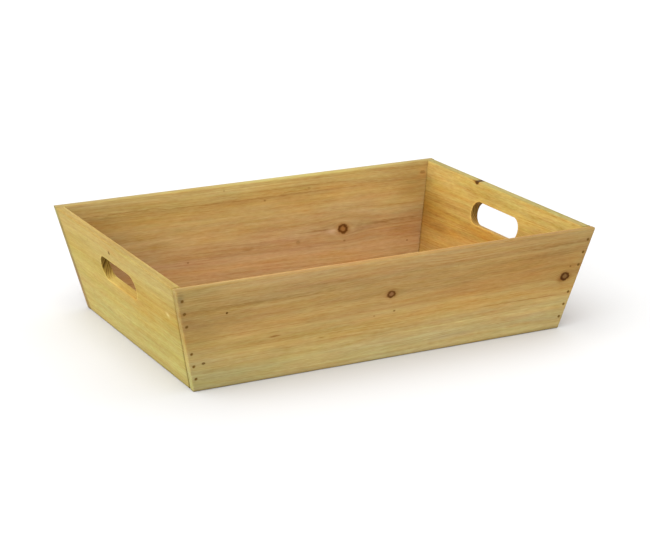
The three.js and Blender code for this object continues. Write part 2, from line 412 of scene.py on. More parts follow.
RIGHT_TIMBER = Timber(
    pith_down=12,
    pith_depth=-40,
    ring=2.4,
    slope=-0.03,
    shift=980,
    figure=0.55,
    bands=(0.08, 0.28, 0.45, 0.6),
    mottle=1.2,
    pins=(Mark(44.2, 0.9, 3.3, 2.2, 1.0),),
    streaks=(Mark(93, 63, 40, 3.5, 0.35), Mark(60, 44, 60, 2.0, 0.25), Mark(49, 0.6, 7, 1.0, 1.0)),
    patches=(
        # Partly painted shade: the back corner is darker, in part the wood's own tone and in part the
        # shade in the corner
        Patch(142, 54, 42, 34, (0.66, 0.56, 0.42)),
        Patch(22, 9, 30, 7, (0.88, 0.84, 0.74)),
        Patch(18, 47, 26, 6, (1.0, 0.92, 0.74)),
        Patch(66, 62, 18, 4, (1.0, 0.92, 0.76)),
        Patch(84, 36, 40, 4, (0.96, 0.88, 0.78)),
        Patch(80, 46, 34, 5, (1.03, 1.04, 1.10)),
        Patch(90, 22, 60, 2.5, (0.93, 0.89, 0.82)),
        Patch(72, 50, 20, 7, (1.12, 1.17, 1.17)),
        Patch(133, 19, 10, 9, (0.78, 0.78, 0.84)),
        Patch(96, 63, 24, 6, (0.84, 0.82, 0.76)),
        Patch(32, 46, 28, 5.5, (1.1, 1.14, 1.26)),
        Patch(50, 13, 12, 5, (0.9, 0.86, 0.88)),
        Patch(-112, 13, 14, 5, (0.88, 0.89, 0.88)),
    ),
    rim=(0.65, 0.75, 0.83),
    rim_edge_light=(0.75, 1.0),
)

# How finely the boards' surfaces are divided
ARRIS_ANGLES = np.radians([0, 20, 42, 66, 90])
ARRIS_CLEAR = 1.15
EDGE_ROWS = 5
HOLE_ROWS = 34
GRID_STEP = 2.6 * MM
BASE_STEP = 3 * GRID_STEP
ROW_STEP = 1.9 * MM
KNOT_STEP = 1.0 * MM
KNOT_ZONE = 2.2
NAIL_STEP = 0.45 * MM
NAIL_ZONE = 1.9 * MM
NAIL_COLUMN = 7.5 * MM
STEP_EDGE = 0.02 * MM
STEP_CLEAR = 4 * STEP_EDGE

# Nail heads, the pits punched round them, the planed faces' unevenness and the broken corner
NAIL_HEAD = 1.15 * MM
HEAD_SKIN = 0.05 * MM
CRATER_RADIUS = 1.3 * MM
CRATER_DEPTH = 0.36 * MM
UNEVEN = 0.07 * MM
LONGEST_WAVE = 110 * MM
WAVE_RATIOS = np.array([1, 1.37, 1.9, 2.6, 3.3])
WAVE_SEEDS = {"front": 5, "back": 4}
CHIP_HEIGHT = 8.0 * MM
CHIP_FROM = 0.93


def stations(span, step, zones, arris, steps_at=()):
    """Positions from 0 to span: a few round each eased edge, arris * (1 - cos(angle)) in from it, then
    every step, every finer step inside the zones, which are (low, high, fine), and two close ones at
    each place in steps_at."""
    edge = arris * (1 - np.cos(ARRIS_ANGLES))
    inside = np.linspace(arris, span - arris, int(span / step))
    for low, high, fine in zones:
        inside = inside[(inside < low) | (inside > high)]
        inside = np.concatenate([inside, np.arange(low, high, fine)])
    for place in steps_at:
        inside = inside[np.abs(inside - place) > STEP_CLEAR]
        inside = np.concatenate([inside, [place - STEP_EDGE, place + STEP_EDGE]])
    clear = ARRIS_CLEAR * arris
    inside = inside[(inside > clear) & (inside < span - clear)]
    return np.sort(np.concatenate([edge, inside, span - edge]))


def merged(zones):
    """The same zones with those that overlap joined."""
    joined = []
    for low, high, fine in sorted(zones):
        if joined and low <= joined[-1][1]:
            before = joined[-1]
            joined[-1] = (before[0], max(high, before[1]), min(fine, before[2]))
        else:
            joined.append((low, high, fine))
    return joined


def eased(distance, arris):
    """How far a face falls away near a rounded edge: arris - sqrt(arris^2 - (arris - distance)^2)."""
    short = np.clip(arris - distance, 0, arris)
    return arris - np.sqrt(arris**2 - short**2)


def waves(x, y, seed):
    """Smooth unevenness from -1 to 1: the mean of five sine waves with seeded directions and phases,
    the longest of length LONGEST_WAVE and the others shorter by WAVE_RATIOS."""
    draw = np.random.default_rng(seed)
    direction = draw.uniform(0, math.pi, len(WAVE_RATIOS))
    phase = draw.uniform(0, 2 * math.pi, len(WAVE_RATIOS))
    number = 2 * math.pi / LONGEST_WAVE * WAVE_RATIOS
    where = x[..., None] * np.cos(direction) + y[..., None] * np.sin(direction)
    return np.sin(where * number + phase).mean(axis=-1)


def craters(x, y, nails):
    """Depth of the flat-bottomed pits punched round the nail heads: depth * exp(-(r / radius)^6), where
    the deepest counts."""
    squared = (x[..., None] - nails[:, 0]) ** 2 + (y[..., None] - nails[:, 1]) ** 2
    return CRATER_DEPTH * np.exp(-((squared / CRATER_RADIUS**2) ** 3)).max(axis=-1)


def grid_quads(rows, columns, offset, flip):
    """Quads of a grid whose vertices run row by row."""
    corner = offset + (np.arange(rows - 1)[:, None] * columns + np.arange(columns - 1)).ravel()
    quads = np.stack([corner, corner + 1, corner + 1 + columns, corner + columns], axis=-1)
    return quads[:, ::-1] if flip else quads


def ring_quads(loops):
    """Quads between neighbouring closed loops; loops holds one row of vertex numbers for each loop."""
    first, second = loops[:-1], loops[1:]
    quads = [first, second, np.roll(second, -1, axis=1), np.roll(first, -1, axis=1)]
    return np.stack(quads, axis=-1).reshape(-1, 4)


def slab(x, up, thickness, arris, relief, limit):
    """A closed board on a grid of positions x along and up: an outer and an inner face whose borders
    fall away over the arris, joined by a band of loops round the edge. Relief lowers the outer face,
    and limit is the greatest depth of the inner face. Returns x, up and depth of every vertex, and the
    quads."""
    along, across = np.meshgrid(x, up)
    from_side = np.minimum(along - x[0], x[-1] - along)
    from_level = np.minimum(across - up[0], up[-1] - across)
    corner = np.hypot(np.clip(arris - from_side, 0, None), np.clip(arris - from_level, 0, None))
    fall = eased(arris - np.minimum(corner, arris), arris)
    outer = np.stack([along, across, fall + relief(along, across)], axis=-1).reshape(-1, 3)
    behind = np.minimum(thickness - fall, limit(along, across))
    inner = np.stack([along, across, behind], axis=-1).reshape(-1, 3)
    rows, columns = along.shape
    count = rows * columns
    number = np.arange(count).reshape(rows, columns)
    border = np.concatenate([number[0, :-1], number[:-1, -1], number[-1, :0:-1], number[:0:-1, 0]])
    share = np.linspace(0, 1, EDGE_ROWS + 1)[1:-1, None, None]
    band = (outer[border] * (1 - share) + inner[border] * share).reshape(-1, 3)
    middle = 2 * count + np.arange(len(band)).reshape(EDGE_ROWS - 1, -1)
    loops = np.concatenate([border[None], middle, border[None] + count])
    faces = [grid_quads(rows, columns, 0, False), grid_quads(rows, columns, count, True)]
    return np.concatenate([outer, inner, band]), np.concatenate([*faces, ring_quads(loops)])


def holed_board(wall, sizes):
    """A closed board with a hand hole. Each ray runs from the hole's outline to the board's outline,
    away from the nearest point of the hole's straight middle line. A section goes out along the ray on
    the outer face, over the board's edge, back on the inner face and through the hole, so the whole is
    one surface closed both ways. Below the rebate the inner face stops at the lip. Returns x, up and
    depth of every vertex, how far each is from the hole, how far its ray runs along the grain, and the
    quads."""
    slant = wall.slant()
    thickness = sizes.board_thickness
    radius = sizes.hole_height / 2
    straight = sizes.hole_length / 2 - radius
    centre = slant - sizes.hole_drop - radius
    foot, rim = wall.half(0), wall.half(WALL_HEIGHT)
    level = np.linspace(0, 1, int(2 * foot / GRID_STEP), endpoint=False)
    steep = np.linspace(0, 1, int(slant / ROW_STEP), endpoint=False)
    along_foot, up_end = foot * (2 * level - 1), foot + (rim - foot) * steep
    along_rim, down_end = rim * (1 - 2 * level), -rim - (foot - rim) * steep
    outline_x = np.concatenate([along_foot, up_end, along_rim, down_end])
    outline_s = np.concatenate([0 * level, slant * steep, slant + 0 * level, slant * (1 - steep)])
    on_level = np.concatenate([0 * level + 1, 0 * steep, 0 * level + 1, 0 * steep]) > 0
    on_foot = on_level & (outline_s < slant / 2)

    middle_x = np.clip(outline_x, -straight, straight)
    away = np.hypot(outline_x - middle_x, outline_s - centre)
    ray_x, ray_s = (outline_x - middle_x) / away, (outline_s - centre) / away
    facing = np.where(on_level, np.abs(ray_s), np.abs(ray_x))[:, None]
    arris = np.where(on_level, sizes.arris, sizes.joint_arris)[:, None]
    reach = (away - radius)[:, None]
    zero = 0 * reach

    turn, fall = 1 - np.cos(ARRIS_ANGLES), 1 - np.sin(ARRIS_ANGLES)
    step = BASE_THICKNESS + sizes.joint_gap
    shoulder = np.array([step + STEP_EDGE, step - STEP_EDGE]) / math.cos(wall.flare)
    near_hole = zero + sizes.hole_arris * turn
    near_edge = reach - np.concatenate([zero + shoulder, arris * turn[::-1]], axis=1) / facing
    first, last = near_hole[:, -1:], near_edge[:, :1]
    share = np.linspace(0, 1, HOLE_ROWS)[None, 1:-1]
    out = np.concatenate([near_hole, first + (last - first) * share, near_edge], axis=1)
    plain = zero + 0 * np.concatenate([share, [[0, 0]]], axis=1)
    drop = np.concatenate([zero + sizes.hole_arris * fall, plain, arris * fall[::-1]], axis=1)

    across = np.linspace(0, 1, EDGE_ROWS + 1)[None, 1:-1]
    edge_end = np.where(on_foot[:, None], wall.lip(0, sizes), thickness - arris)
    edge_depth = arris + (edge_end - arris) * across
    hole_depth = zero + sizes.hole_arris + (thickness - 2 * sizes.hole_arris) * across[:, ::-1]
    out = np.concatenate([out, out[:, -1:] + 0 * across, out[:, ::-1], 0 * hole_depth], axis=1)
    depth = np.concatenate([drop, edge_depth, thickness - drop[:, ::-1], hole_depth], axis=1)
    x = middle_x[:, None] + ray_x[:, None] * (radius + out)
    s = centre + ray_s[:, None] * (radius + out)
    square = 1 - out / reach
    up = s * math.cos(wall.flare) + depth * math.sin(wall.flare) * square
    rebated = up < step
    depth = np.where(rebated, np.minimum(depth, wall.lip(up, sizes)), depth)
    up = s * math.cos(wall.flare) + depth * math.sin(wall.flare) * square

    rays, section = depth.shape
    number = np.arange(rays * section).reshape(rays, section).T
    loops = np.concatenate([number, number[:1]])
    flat = np.stack([x, up, depth], axis=-1).reshape(-1, 3)
    along_grain = (np.abs(ray_x)[:, None] + 0 * out).ravel()
    return flat, out.ravel(), along_grain, ring_quads(loops)[:, ::-1]


MARK_REACH = 4.0
FAR = 1e3
ALONG_SHARE = 0.5
CORE_SHARE = 0.35


def nearest_mark(along, down, marks):
    """Offset from the nearest mark in units of its half-sizes, and how dark that mark is, which is
    nothing further than MARK_REACH from it."""
    if not marks:
        return np.stack([0 * along + FAR, 0 * along + FAR, 0 * along], axis=-1)
    listed = np.array([[m.along, m.down, m.wide, m.high, m.dark] for m in marks])
    x = (along[:, None] - listed[:, 0]) / listed[:, 2]
    y = (down[:, None] - listed[:, 1]) / listed[:, 3]
    best = np.argmin(x**2 + y**2, axis=1)
    row = np.arange(len(along))
    x, y = x[row, best], y[row, best]
    return np.stack([x, y, np.where(np.hypot(x, y) < MARK_REACH, listed[best, 4], 0)], axis=-1)


def bent_grain(along, down, knots):
    """Where the grain at a point came from: it flows round each knot as water round a post, so the
    distance across the grain shrinks by size^2 / (distance^2 + CORE_SHARE * size^2), with distances
    along the grain counted at ALONG_SHARE."""
    bent = down.copy()
    for knot in knots:
        across = down - knot.down
        squared = (ALONG_SHARE * (along - knot.along)) ** 2 + across**2
        bent = bent - across * knot.high**2 / (squared + CORE_SHARE * knot.high**2)
    return bent


def clouded(along, down, patches):
    """The product of the patches' tints, each fading as exp(-(x / wide)^2 - (y / high)^2) from its
    middle."""
    tint = np.ones(along.shape + (3,))
    for patch in patches:
        squared = ((along - patch.along) / patch.wide) ** 2 + ((down - patch.down) / patch.high) ** 2
        tint *= 1 + (np.array(patch.tint) - 1) * np.exp(-squared)[:, None]
    return tint


# Meshes, and what is stored on them for the finishes
def new_piece(name, points, quads, material, node):
    """A mesh object at the origin that rides on the tray and stands for the given node."""
    mesh = bpy.data.meshes.new(name)
    mesh.vertices.add(len(points))
    mesh.vertices.foreach_set("co", points.astype(np.float32).ravel())
    mesh.loops.add(quads.size)
    mesh.loops.foreach_set("vertex_index", quads.astype(np.int32).ravel())
    mesh.polygons.add(len(quads))
    mesh.polygons.foreach_set("loop_start", np.arange(0, quads.size, 4, dtype=np.int32))
    mesh.polygons.foreach_set("use_smooth", np.ones(len(quads), dtype=bool))
    mesh.update(calc_edges=True)
    mesh.materials.append(material)
    piece = bpy.data.objects.new(name, mesh)
    bpy.context.scene.collection.objects.link(piece)
    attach(piece, BODY)
    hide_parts(node)
    return piece


def write_attribute(piece, name, values):
    """Stores one vector for each vertex."""
    attribute = piece.data.attributes.new(name, "FLOAT_VECTOR", "POINT")
    attribute.data.foreach_set("vector", values.astype(np.float32).ravel())


def write_timber(piece, timber, along, down, depth, nails, pale, cuts):
    """Stores what the wood's finish reads, in millimetres: the place in the log, the place on the
    board, the nearest marks, the clouds of tone with the edge tints and their painted light and shade,
    where the hole cuts the wood, and the painted shade at the foot with the darkening along the joints."""
    across = bent_grain(along, down, timber.knots) + timber.slope * along
    write_attribute(piece, "grain_at", np.stack([along + timber.shift, across, depth], axis=-1))
    write_attribute(piece, "board_at", np.stack([along, down, depth], axis=-1))
    kinds = {"knot": timber.knots, "pin": timber.pins, "streak": timber.streaks, "nail": nails}
    for kind, marks in kinds.items():
        write_attribute(piece, f"{kind}_at", nearest_mark(along, down, marks))
    write_attribute(piece, "tint", clouded(along, down, timber.patches) * pale)
    write_attribute(piece, "cut_at", cuts)


def nail_heads(prefix, into):
    """Centres of the heads of the nodes whose name starts with prefix: the mean of the points that lie
    furthest out."""
    heads = []
    for name, node in sorted(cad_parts.items()):
        if name.startswith(prefix):
            points = np.empty(3 * len(node.data.vertices))
            node.data.vertices.foreach_get("co", points)
            points = points.reshape(-1, 3)
            far = points @ into
            heads.append(points[far < far.min() + HEAD_SKIN].mean(axis=0))
    return np.array(heads)


def nail_marks(places):
    """Nail heads as marks, from places in millimetres."""
    head = NAIL_HEAD / MM
    return tuple(Mark(x, y, head, head, 1.0) for x, y in places)


# Finishes
def add(tree, kind, inputs=None, **settings):
    """Adds a shader node with its settings. Each input is a value, the socket that feeds it, or the
    node whose first output feeds it."""
    made = tree.nodes.new("ShaderNode" + kind)
    for key, value in settings.items():
        setattr(made, key, value)
    for key, value in (inputs or {}).items():
        source = value.outputs[0] if isinstance(value, Node) else value
        if isinstance(source, NodeSocket):
            tree.links.new(source, made.inputs[key])
        else:
            made.inputs[key].default_value = source
    return made


def set_ramp(ramp, stops):
    """Gives a colour ramp its stops, as (position, colour)."""
    elements = ramp.color_ramp.elements
    while len(elements) < len(stops):
        elements.new(0.5)
    for element, (position, shade) in zip(elements, stops):
        element.position = position
        element.color = (*shade, 1)


def tones(shade, steps):
    """Stops of a ramp through shares of a colour's lightness, from (position, share)."""
    return [(position, tuple(share * channel for channel in shade)) for position, share in steps]


def new_material(name, sockets):
    """A material with one Principled shader; constants go straight on its sockets."""
    material = bpy.data.materials.new(name)
    material.use_nodes = True
    shader = material.node_tree.nodes["Principled BSDF"]
    for key, value in sockets.items():
        shader.inputs[key].default_value = value
    return material, material.node_tree, shader


MULTIPLY = {"data_type": "RGBA", "blend_type": "MULTIPLY"}
BLEND = {"data_type": "RGBA"}
WHITE = (1, 1, 1)

# Numbers of a Mix node's colour sockets, which share their names with other sockets
MIX_BASE = 6
MIX_SHADE = 7
MIX_RESULT = 2

# Steps of the wood's tone in red, green and blue
LIGHTER = np.array([0.62, 1.0, 1.38])
WARMER = np.array([0.45, 0.0, -0.95])
GREENER = np.array([-0.5, 0.5, -0.3])


@dataclass(frozen=True)
class Layer:
    """One size of unevenness in the wood's tone: its length and width in millimetres, and how far it
    moves the tone lighter, warmer and greener."""

    long: float
    wide: float
    light: float
    warm: float
    green: float


CLOUDS = Layer(long=170, wide=24, light=0.4, warm=0.36, green=0.14)
BANDS = Layer(long=600, wide=9, light=0.4, warm=0.18, green=0.1)
LINES = Layer(long=420, wide=2.6, light=0.36, warm=0.06, green=0.0)
BLOTCHES = Layer(long=30, wide=5, light=0.3, warm=0.24, green=0.16)
THREADS = Layer(long=160, wide=1.1, light=0.4, warm=0.05, green=0.0)
FIBRES = Layer(long=8, wide=0.8, light=0.56, warm=0.1, green=0.1)
LAYERS = (CLOUDS, BANDS, LINES, BLOTCHES, THREADS, FIBRES)
LAYER_ROUGHNESS = 0.68
NOISE_MIDDLE = (0.5, 0.5, 0.5)

# Noises along and across the grain, in millimetres, and what they do
DRIFT_SIZE = (220, 40)
DRIFT_BY = 9.0
BLUR_SIZE = (85, 17)
BLUR_SHARE = 0.3
FADE_SIZE = (130, 15)
FADE_RANGE = (0.34, 0.68)
RING_DRIFT_PER_MM = 0.11
RING_DRIFT_BY = 9.0
FAINTEST_RING = 0.2
RING_TONES = ((0, 0.1), (0.3, 0), (0.8, 0.9), (0.9, 0.8), (1, 0.1))

# Colours that the wood is multiplied with
LATE_WOOD = (0.80, 0.66, 0.47, 1)
STREAK_BROWN = (0.60, 0.43, 0.27, 1)
NAIL_STAIN = (0.5, 0.38, 0.26, 1)
RED_HALO = (0.72, 0.52, 0.34, 1)
HOLE_BROWN = (0.6, 0.52, 0.41, 1)
HOLE_RINGS = (0.25, 0.2, 0.14, 1)
# Painted shade along the foot of each wall, also used to darken the joints
SHADE_AND_JOINT_DARK = (0.28, 0.23, 0.15, 1)

# Where a mark's shade is full and where it ends, in units of the mark's half-sizes
STREAK_REACH = (0.5, 1.6)
HALO_REACH = (0.3, 1.2)
KNOT_REACH = (0.8, 1.2)
NAIL_REACH = (0.8, 1.7)
HALO_MOST = 0.5
HALO_STRETCH = (0.55, 0.7, 0)
KNOT_WOBBLE = 0.7
WOBBLE_SCALE = 1.7
KNOT_STOPS = (0.0, 0.3, 0.46, 0.6, 0.95)

DULL_SHEEN = 0.05
WOOD_ROUGHNESS = (0.68, 0.48)
WOOD_BUMP = 0.35
FIBRE_HEIGHT = 0.12 * MM


def grain_noise(tree, grain, size, **inputs):
    """Outputs of a noise drawn out along the grain, of a size in millimetres along and across it."""
    along, across = size
    per_mm = (1 / along, 1 / across, 1 / across)
    where = add(tree, "VectorMath", {0: grain, 1: per_mm}, operation="MULTIPLY")
    return add(tree, "TexNoise", {"Vector": where, "Scale": 1, **inputs}).outputs


def drifting_grain(tree):
    """The place in the log, moved across the grain by a slow noise, so that its lines wander."""
    grain = add(tree, "Attribute", attribute_name="grain_at").outputs["Vector"]
    drift = grain_noise(tree, grain, DRIFT_SIZE, Detail=2)["Color"]
    inputs = {0: drift, 1: (0, DRIFT_BY, DRIFT_BY), 2: grain}
    return add(tree, "VectorMath", inputs, operation="MULTIPLY_ADD").outputs[0]


def ring_lines(tree, grain, timber):
    """The year rings, a ramp over the fraction of (distance from the pith + noise) / ring width, and
    how dark they show: each ring has its own strength and fades in and out over the board."""
    pith = (0, -timber.pith_down, -timber.pith_depth)
    from_pith = add(tree, "VectorMath", {0: grain, 1: (0, 1, 1), 2: pith}, operation="MULTIPLY_ADD")
    radius = add(tree, "VectorMath", {0: from_pith}, operation="LENGTH").outputs["Value"]
    inputs = {"W": radius, "Scale": RING_DRIFT_PER_MM, "Detail": 1}
    drift = add(tree, "TexNoise", inputs, noise_dimensions="1D")
    uneven = add(tree, "Math", {0: drift, 1: RING_DRIFT_BY, 2: radius}, operation="MULTIPLY_ADD")
    rings = add(tree, "Math", {0: uneven, 1: timber.ring}, operation="DIVIDE")
    phase = add(tree, "Math", {0: rings}, operation="FRACT")
    late = add(tree, "ValToRGB", {"Fac": phase})
    set_ramp(late, tones(WHITE, RING_TONES))
    whole = add(tree, "Math", {0: rings}, operation="FLOOR")
    vigour = add(tree, "TexWhiteNoise", {"W": whole}, noise_dimensions="1D").outputs["Value"]
    limits = {"Value": vigour, "To Min": FAINTEST_RING, "To Max": timber.figure}
    strength = add(tree, "MapRange", limits)
    fade = grain_noise(tree, grain, FADE_SIZE, Detail=2)["Fac"]
    limits = {"Value": fade, "From Min": FADE_RANGE[0], "From Max": FADE_RANGE[1]}
    shown = add(tree, "MapRange", limits)
    show = add(tree, "Math", {0: shown, 1: strength}, operation="MULTIPLY")
    dark = add(tree, "Math", {0: late, 1: show}, operation="MULTIPLY")
    return late, dark


def grain_tones(tree, grain, mottle):
    """The wood's uneven tone, as a colour to multiply it with: 1 + the sum over the layers of three
    noises from -0.5 to 0.5, each times the step that it takes. Also returns the finest noise, for the
    relief."""
    total = WHITE
    for layer in LAYERS:
        noise = grain_noise(tree, grain, (layer.long, layer.wide), Detail=1, Roughness=LAYER_ROUGHNESS)
        centred = add(tree, "VectorMath", {0: noise["Color"], 1: NOISE_MIDDLE}, operation="SUBTRACT")
        channels = add(tree, "SeparateXYZ", {0: centred}).outputs
        steps = (layer.light * LIGHTER, layer.warm * WARMER, layer.green * GREENER)
        for channel, step in zip(channels, steps):
            inputs = {0: channel, 1: tuple(mottle * step), 2: total}
            total = add(tree, "VectorMath", inputs, operation="MULTIPLY_ADD")
    return total, noise["Fac"]


def softwood(name, timber, side, colours, slant_mm):
    """Planed fir with a thin clear coat: rings cut flat, so the face shows wide plain wood in the
    middle and close lines towards the edges, with fine fibres along the board, warm and green clouds,
    and knots that part the grain."""
    material, tree, shader = new_material(name, {"Specular IOR Level": DULL_SHEEN})
    grain = drifting_grain(tree)
    board = add(tree, "Attribute", attribute_name="board_at").outputs["Vector"]
    tint = add(tree, "Attribute", attribute_name="tint").outputs["Vector"]
    cuts = add(tree, "Attribute", attribute_name="cut_at").outputs["Vector"]
    in_hole, foot_shade_and_joint_dark = add(tree, "SeparateXYZ", {0: cuts}).outputs[:2]

    cloud = grain_noise(tree, grain, BLUR_SIZE, Detail=3)["Fac"]
    blur = add(tree, "Math", {0: cloud, 1: BLUR_SHARE, 2: -BLUR_SHARE / 2}, operation="MULTIPLY_ADD")
    down = add(tree, "SeparateXYZ", {0: board}).outputs[1]
    level = add(tree, "Math", {0: down, 1: 1 / slant_mm, 2: blur}, operation="MULTIPLY_ADD")
    early = add(tree, "ValToRGB", {"Fac": level})
    set_ramp(early, wood_bands(colours, side, timber.bands))
    tone, fibre = grain_tones(tree, grain, timber.mottle)
    late, ring_dark = ring_lines(tree, grain, timber)
    wood = early
    for amount, shade in ((1.0, tone), (ring_dark, LATE_WOOD)):
        inputs = {"Factor": amount, MIX_BASE: wood, MIX_SHADE: shade}
        wood = add(tree, "Mix", inputs, **MULTIPLY).outputs[MIX_RESULT]

    wood = add_streaks(tree, wood, fibre)
    wood = add_knots(tree, wood, "pin_at", colours.knot_bark, colours.knot_bark)
    wood = add_knots(tree, wood, "knot_at", colours.knot_heart, colours.knot_bark)
    inputs = {"Factor": 1.0, MIX_BASE: wood, MIX_SHADE: tint}
    wood = add(tree, "Mix", inputs, **MULTIPLY).outputs[MIX_RESULT]
    wood = add_nail_stains(tree, wood)
    hole_rings = add(tree, "Math", {0: in_hole, 1: late}, operation="MULTIPLY")
    # The last layer darkens the foot with painted shade, and darkens the joints
    for amount, shade in ((in_hole, HOLE_BROWN), (hole_rings, HOLE_RINGS), (foot_shade_and_joint_dark, SHADE_AND_JOINT_DARK)):
        inputs = {"Factor": amount, MIX_BASE: wood, MIX_SHADE: shade}
        wood = add(tree, "Mix", inputs, **MULTIPLY).outputs[MIX_RESULT]
    tree.links.new(wood, shader.inputs["Base Color"])

    relief = add(tree, "Math", {0: fibre, 1: ring_dark}, operation="SUBTRACT")
    bump = add(tree, "Bump", {"Height": relief, "Strength": WOOD_BUMP, "Distance": FIBRE_HEIGHT})
    tree.links.new(bump.outputs["Normal"], shader.inputs["Normal"])
    rough, smooth = WOOD_ROUGHNESS
    polish = add(tree, "MapRange", {"Value": fibre, "To Min": rough, "To Max": smooth})
    tree.links.new(polish.outputs[0], shader.inputs["Roughness"])
    return material


def read_mark(tree, attribute):
    """The offset from the nearest mark, in units of its half-sizes, and how dark that mark is."""
    offset = add(tree, "Attribute", attribute_name=attribute).outputs["Vector"]
    return offset, add(tree, "SeparateXYZ", {0: offset}).outputs[2]


def from_middle(tree, offset, stretch=(1, 1, 0)):
    """The length of an offset over the board's face, after a stretch along and across the grain."""
    flat = add(tree, "VectorMath", {0: offset, 1: stretch}, operation="MULTIPLY")
    return add(tree, "VectorMath", {0: flat}, operation="LENGTH").outputs["Value"]


def stain(tree, wood, away, dark, reach, shade, most=1, blend=MULTIPLY):
    """Mixes a shade into the wood round a mark: most of it up to the first distance in reach, fading to
    nothing at the second, and less where the mark is less dark."""
    limits = {"Value": away, "From Min": reach[0], "From Max": reach[1], "To Min": most, "To Max": 0}
    near = add(tree, "MapRange", limits, interpolation_type="SMOOTHSTEP")
    amount = add(tree, "Math", {0: near, 1: dark}, operation="MULTIPLY")
    inputs = {"Factor": amount, MIX_BASE: wood, MIX_SHADE: shade}
    return add(tree, "Mix", inputs, **blend).outputs[MIX_RESULT]


def add_streaks(tree, wood, noise):
    """Darkens the wood along the board's streaks, most on their middle line, with ragged edges."""
    offset, dark = read_mark(tree, "streak_at")
    ragged = add(tree, "Math", {0: noise, 1: from_middle(tree, offset)}, operation="ADD")
    return stain(tree, wood, ragged, dark, STREAK_REACH, STREAK_BROWN)


def add_knots(tree, wood, attribute, heart, bark):
    """Draws each knot: a reddish halo drawn out along the grain, then branch wood that darkens from its
    heart to a ring of bark, all a little out of round."""
    offset, dark = read_mark(tree, attribute)
    inputs = {"Vector": offset, "Scale": WOBBLE_SCALE, "Detail": 2}
    wobble = add(tree, "TexNoise", inputs).outputs["Color"]
    most, mean = (KNOT_WOBBLE, KNOT_WOBBLE, 0), (KNOT_WOBBLE / 2, KNOT_WOBBLE / 2, 0)
    moved = add(tree, "VectorMath", {0: wobble, 1: most, 2: offset}, operation="MULTIPLY_ADD")
    centred = add(tree, "VectorMath", {0: moved, 1: mean}, operation="SUBTRACT")
    halo = from_middle(tree, centred, HALO_STRETCH)
    wood = stain(tree, wood, halo, dark, HALO_REACH, RED_HALO, HALO_MOST)

    away = from_middle(tree, centred)
    between = tuple(0.5 * (h + b) for h, b in zip(heart, bark))
    inside = add(tree, "ValToRGB", {"Fac": away})
    set_ramp(inside, list(zip(KNOT_STOPS, (heart, heart, between, bark, bark))))
    return stain(tree, wood, away, dark, KNOT_REACH, inside, blend=BLEND)


def add_nail_stains(tree, wood):
    """Darkens the crushed and iron-stained wood round each nail head."""
    offset, dark = read_mark(tree, "nail_at")
    return stain(tree, wood, from_middle(tree, offset), dark, NAIL_REACH, NAIL_STAIN)


VENEER_FIGURE = (240, 42)
VENEER_SWIRL = 0.4
VENEER_FOLDS = 14
VENEER_LATE = ((0, 0), (0.5, 0.2), (0.9, 0.5), (1, 0))
VENEER_FIBRE = (22, 0.7)
VENEER_TONES = ((0.3, 0.86), (0.7, 1))
VENEER_BUMP = 0.3
VENEER_ROUGHNESS = 0.62
CORE_PLY = (0.6, 0.48, 0.36)
PLIES = ((0.3, WHITE), (0.34, CORE_PLY), (0.66, CORE_PLY), (0.7, WHITE))


def rotary_plywood(colours):
    """Thin rotary-cut plywood: a broad soft figure on the faces, and three plies on the edge."""
    sockets = {"Specular IOR Level": DULL_SHEEN, "Roughness": VENEER_ROUGHNESS}
    material, tree, shader = new_material("rotary_cut_plywood", sockets)
    grain = add(tree, "Attribute", attribute_name="grain_at").outputs["Vector"]
    figure = grain_noise(tree, grain, VENEER_FIGURE, Detail=2, Distortion=VENEER_SWIRL)["Fac"]
    folds = add(tree, "Math", {0: figure, 1: VENEER_FOLDS}, operation="MULTIPLY")
    phase = add(tree, "Math", {0: folds}, operation="FRACT")
    late = add(tree, "ValToRGB", {"Fac": phase})
    set_ramp(late, tones(WHITE, VENEER_LATE))
    fibre = grain_noise(tree, grain, VENEER_FIBRE, Detail=3)["Fac"]
    tone = add(tree, "ValToRGB", {"Fac": fibre})
    set_ramp(tone, tones(colours.plywood, VENEER_TONES))
    depth = add(tree, "SeparateXYZ", {0: grain}).outputs[2]
    ply = add(tree, "Math", {0: depth, 1: MM / BASE_THICKNESS}, operation="MULTIPLY")
    plies = add(tree, "ValToRGB", {"Fac": ply})
    set_ramp(plies, PLIES)
    wood = tone
    for amount, shade in ((late, LATE_WOOD), (1.0, plies)):
        inputs = {"Factor": amount, MIX_BASE: wood, MIX_SHADE: shade}
        wood = add(tree, "Mix", inputs, **MULTIPLY).outputs[MIX_RESULT]
    wood = add_nail_stains(tree, wood)
    tree.links.new(wood, shader.inputs["Base Color"])
    bump = add(tree, "Bump", {"Height": fibre, "Strength": VENEER_BUMP, "Distance": FIBRE_HEIGHT})
    tree.links.new(bump.outputs["Normal"], shader.inputs["Normal"])
    return material


STEEL_GRAIN = 0.6 * MM
STEEL_TONES = ((0.35, 0.55), (0.65, 1))
STEEL_ROUGHNESS = (0.4, 0.7)
FLOOR_NOISE = 1.5
FLOOR_TONES = ((0.3, 0.985), (0.7, 1))
FLOOR_ROUGHNESS = 0.9


def mottle_shader(tree, shader, scale, detail, stops):
    """Gives the shader a colour that a noise in the object's own space moves between the stops, and
    returns the noise."""
    where = add(tree, "TexCoord").outputs["Object"]
    noise = add(tree, "TexNoise", {"Vector": where, "Scale": scale, "Detail": detail})
    tone = add(tree, "ValToRGB", {"Fac": noise})
    set_ramp(tone, stops)
    tree.links.new(tone.outputs["Color"], shader.inputs["Base Color"])
    return noise


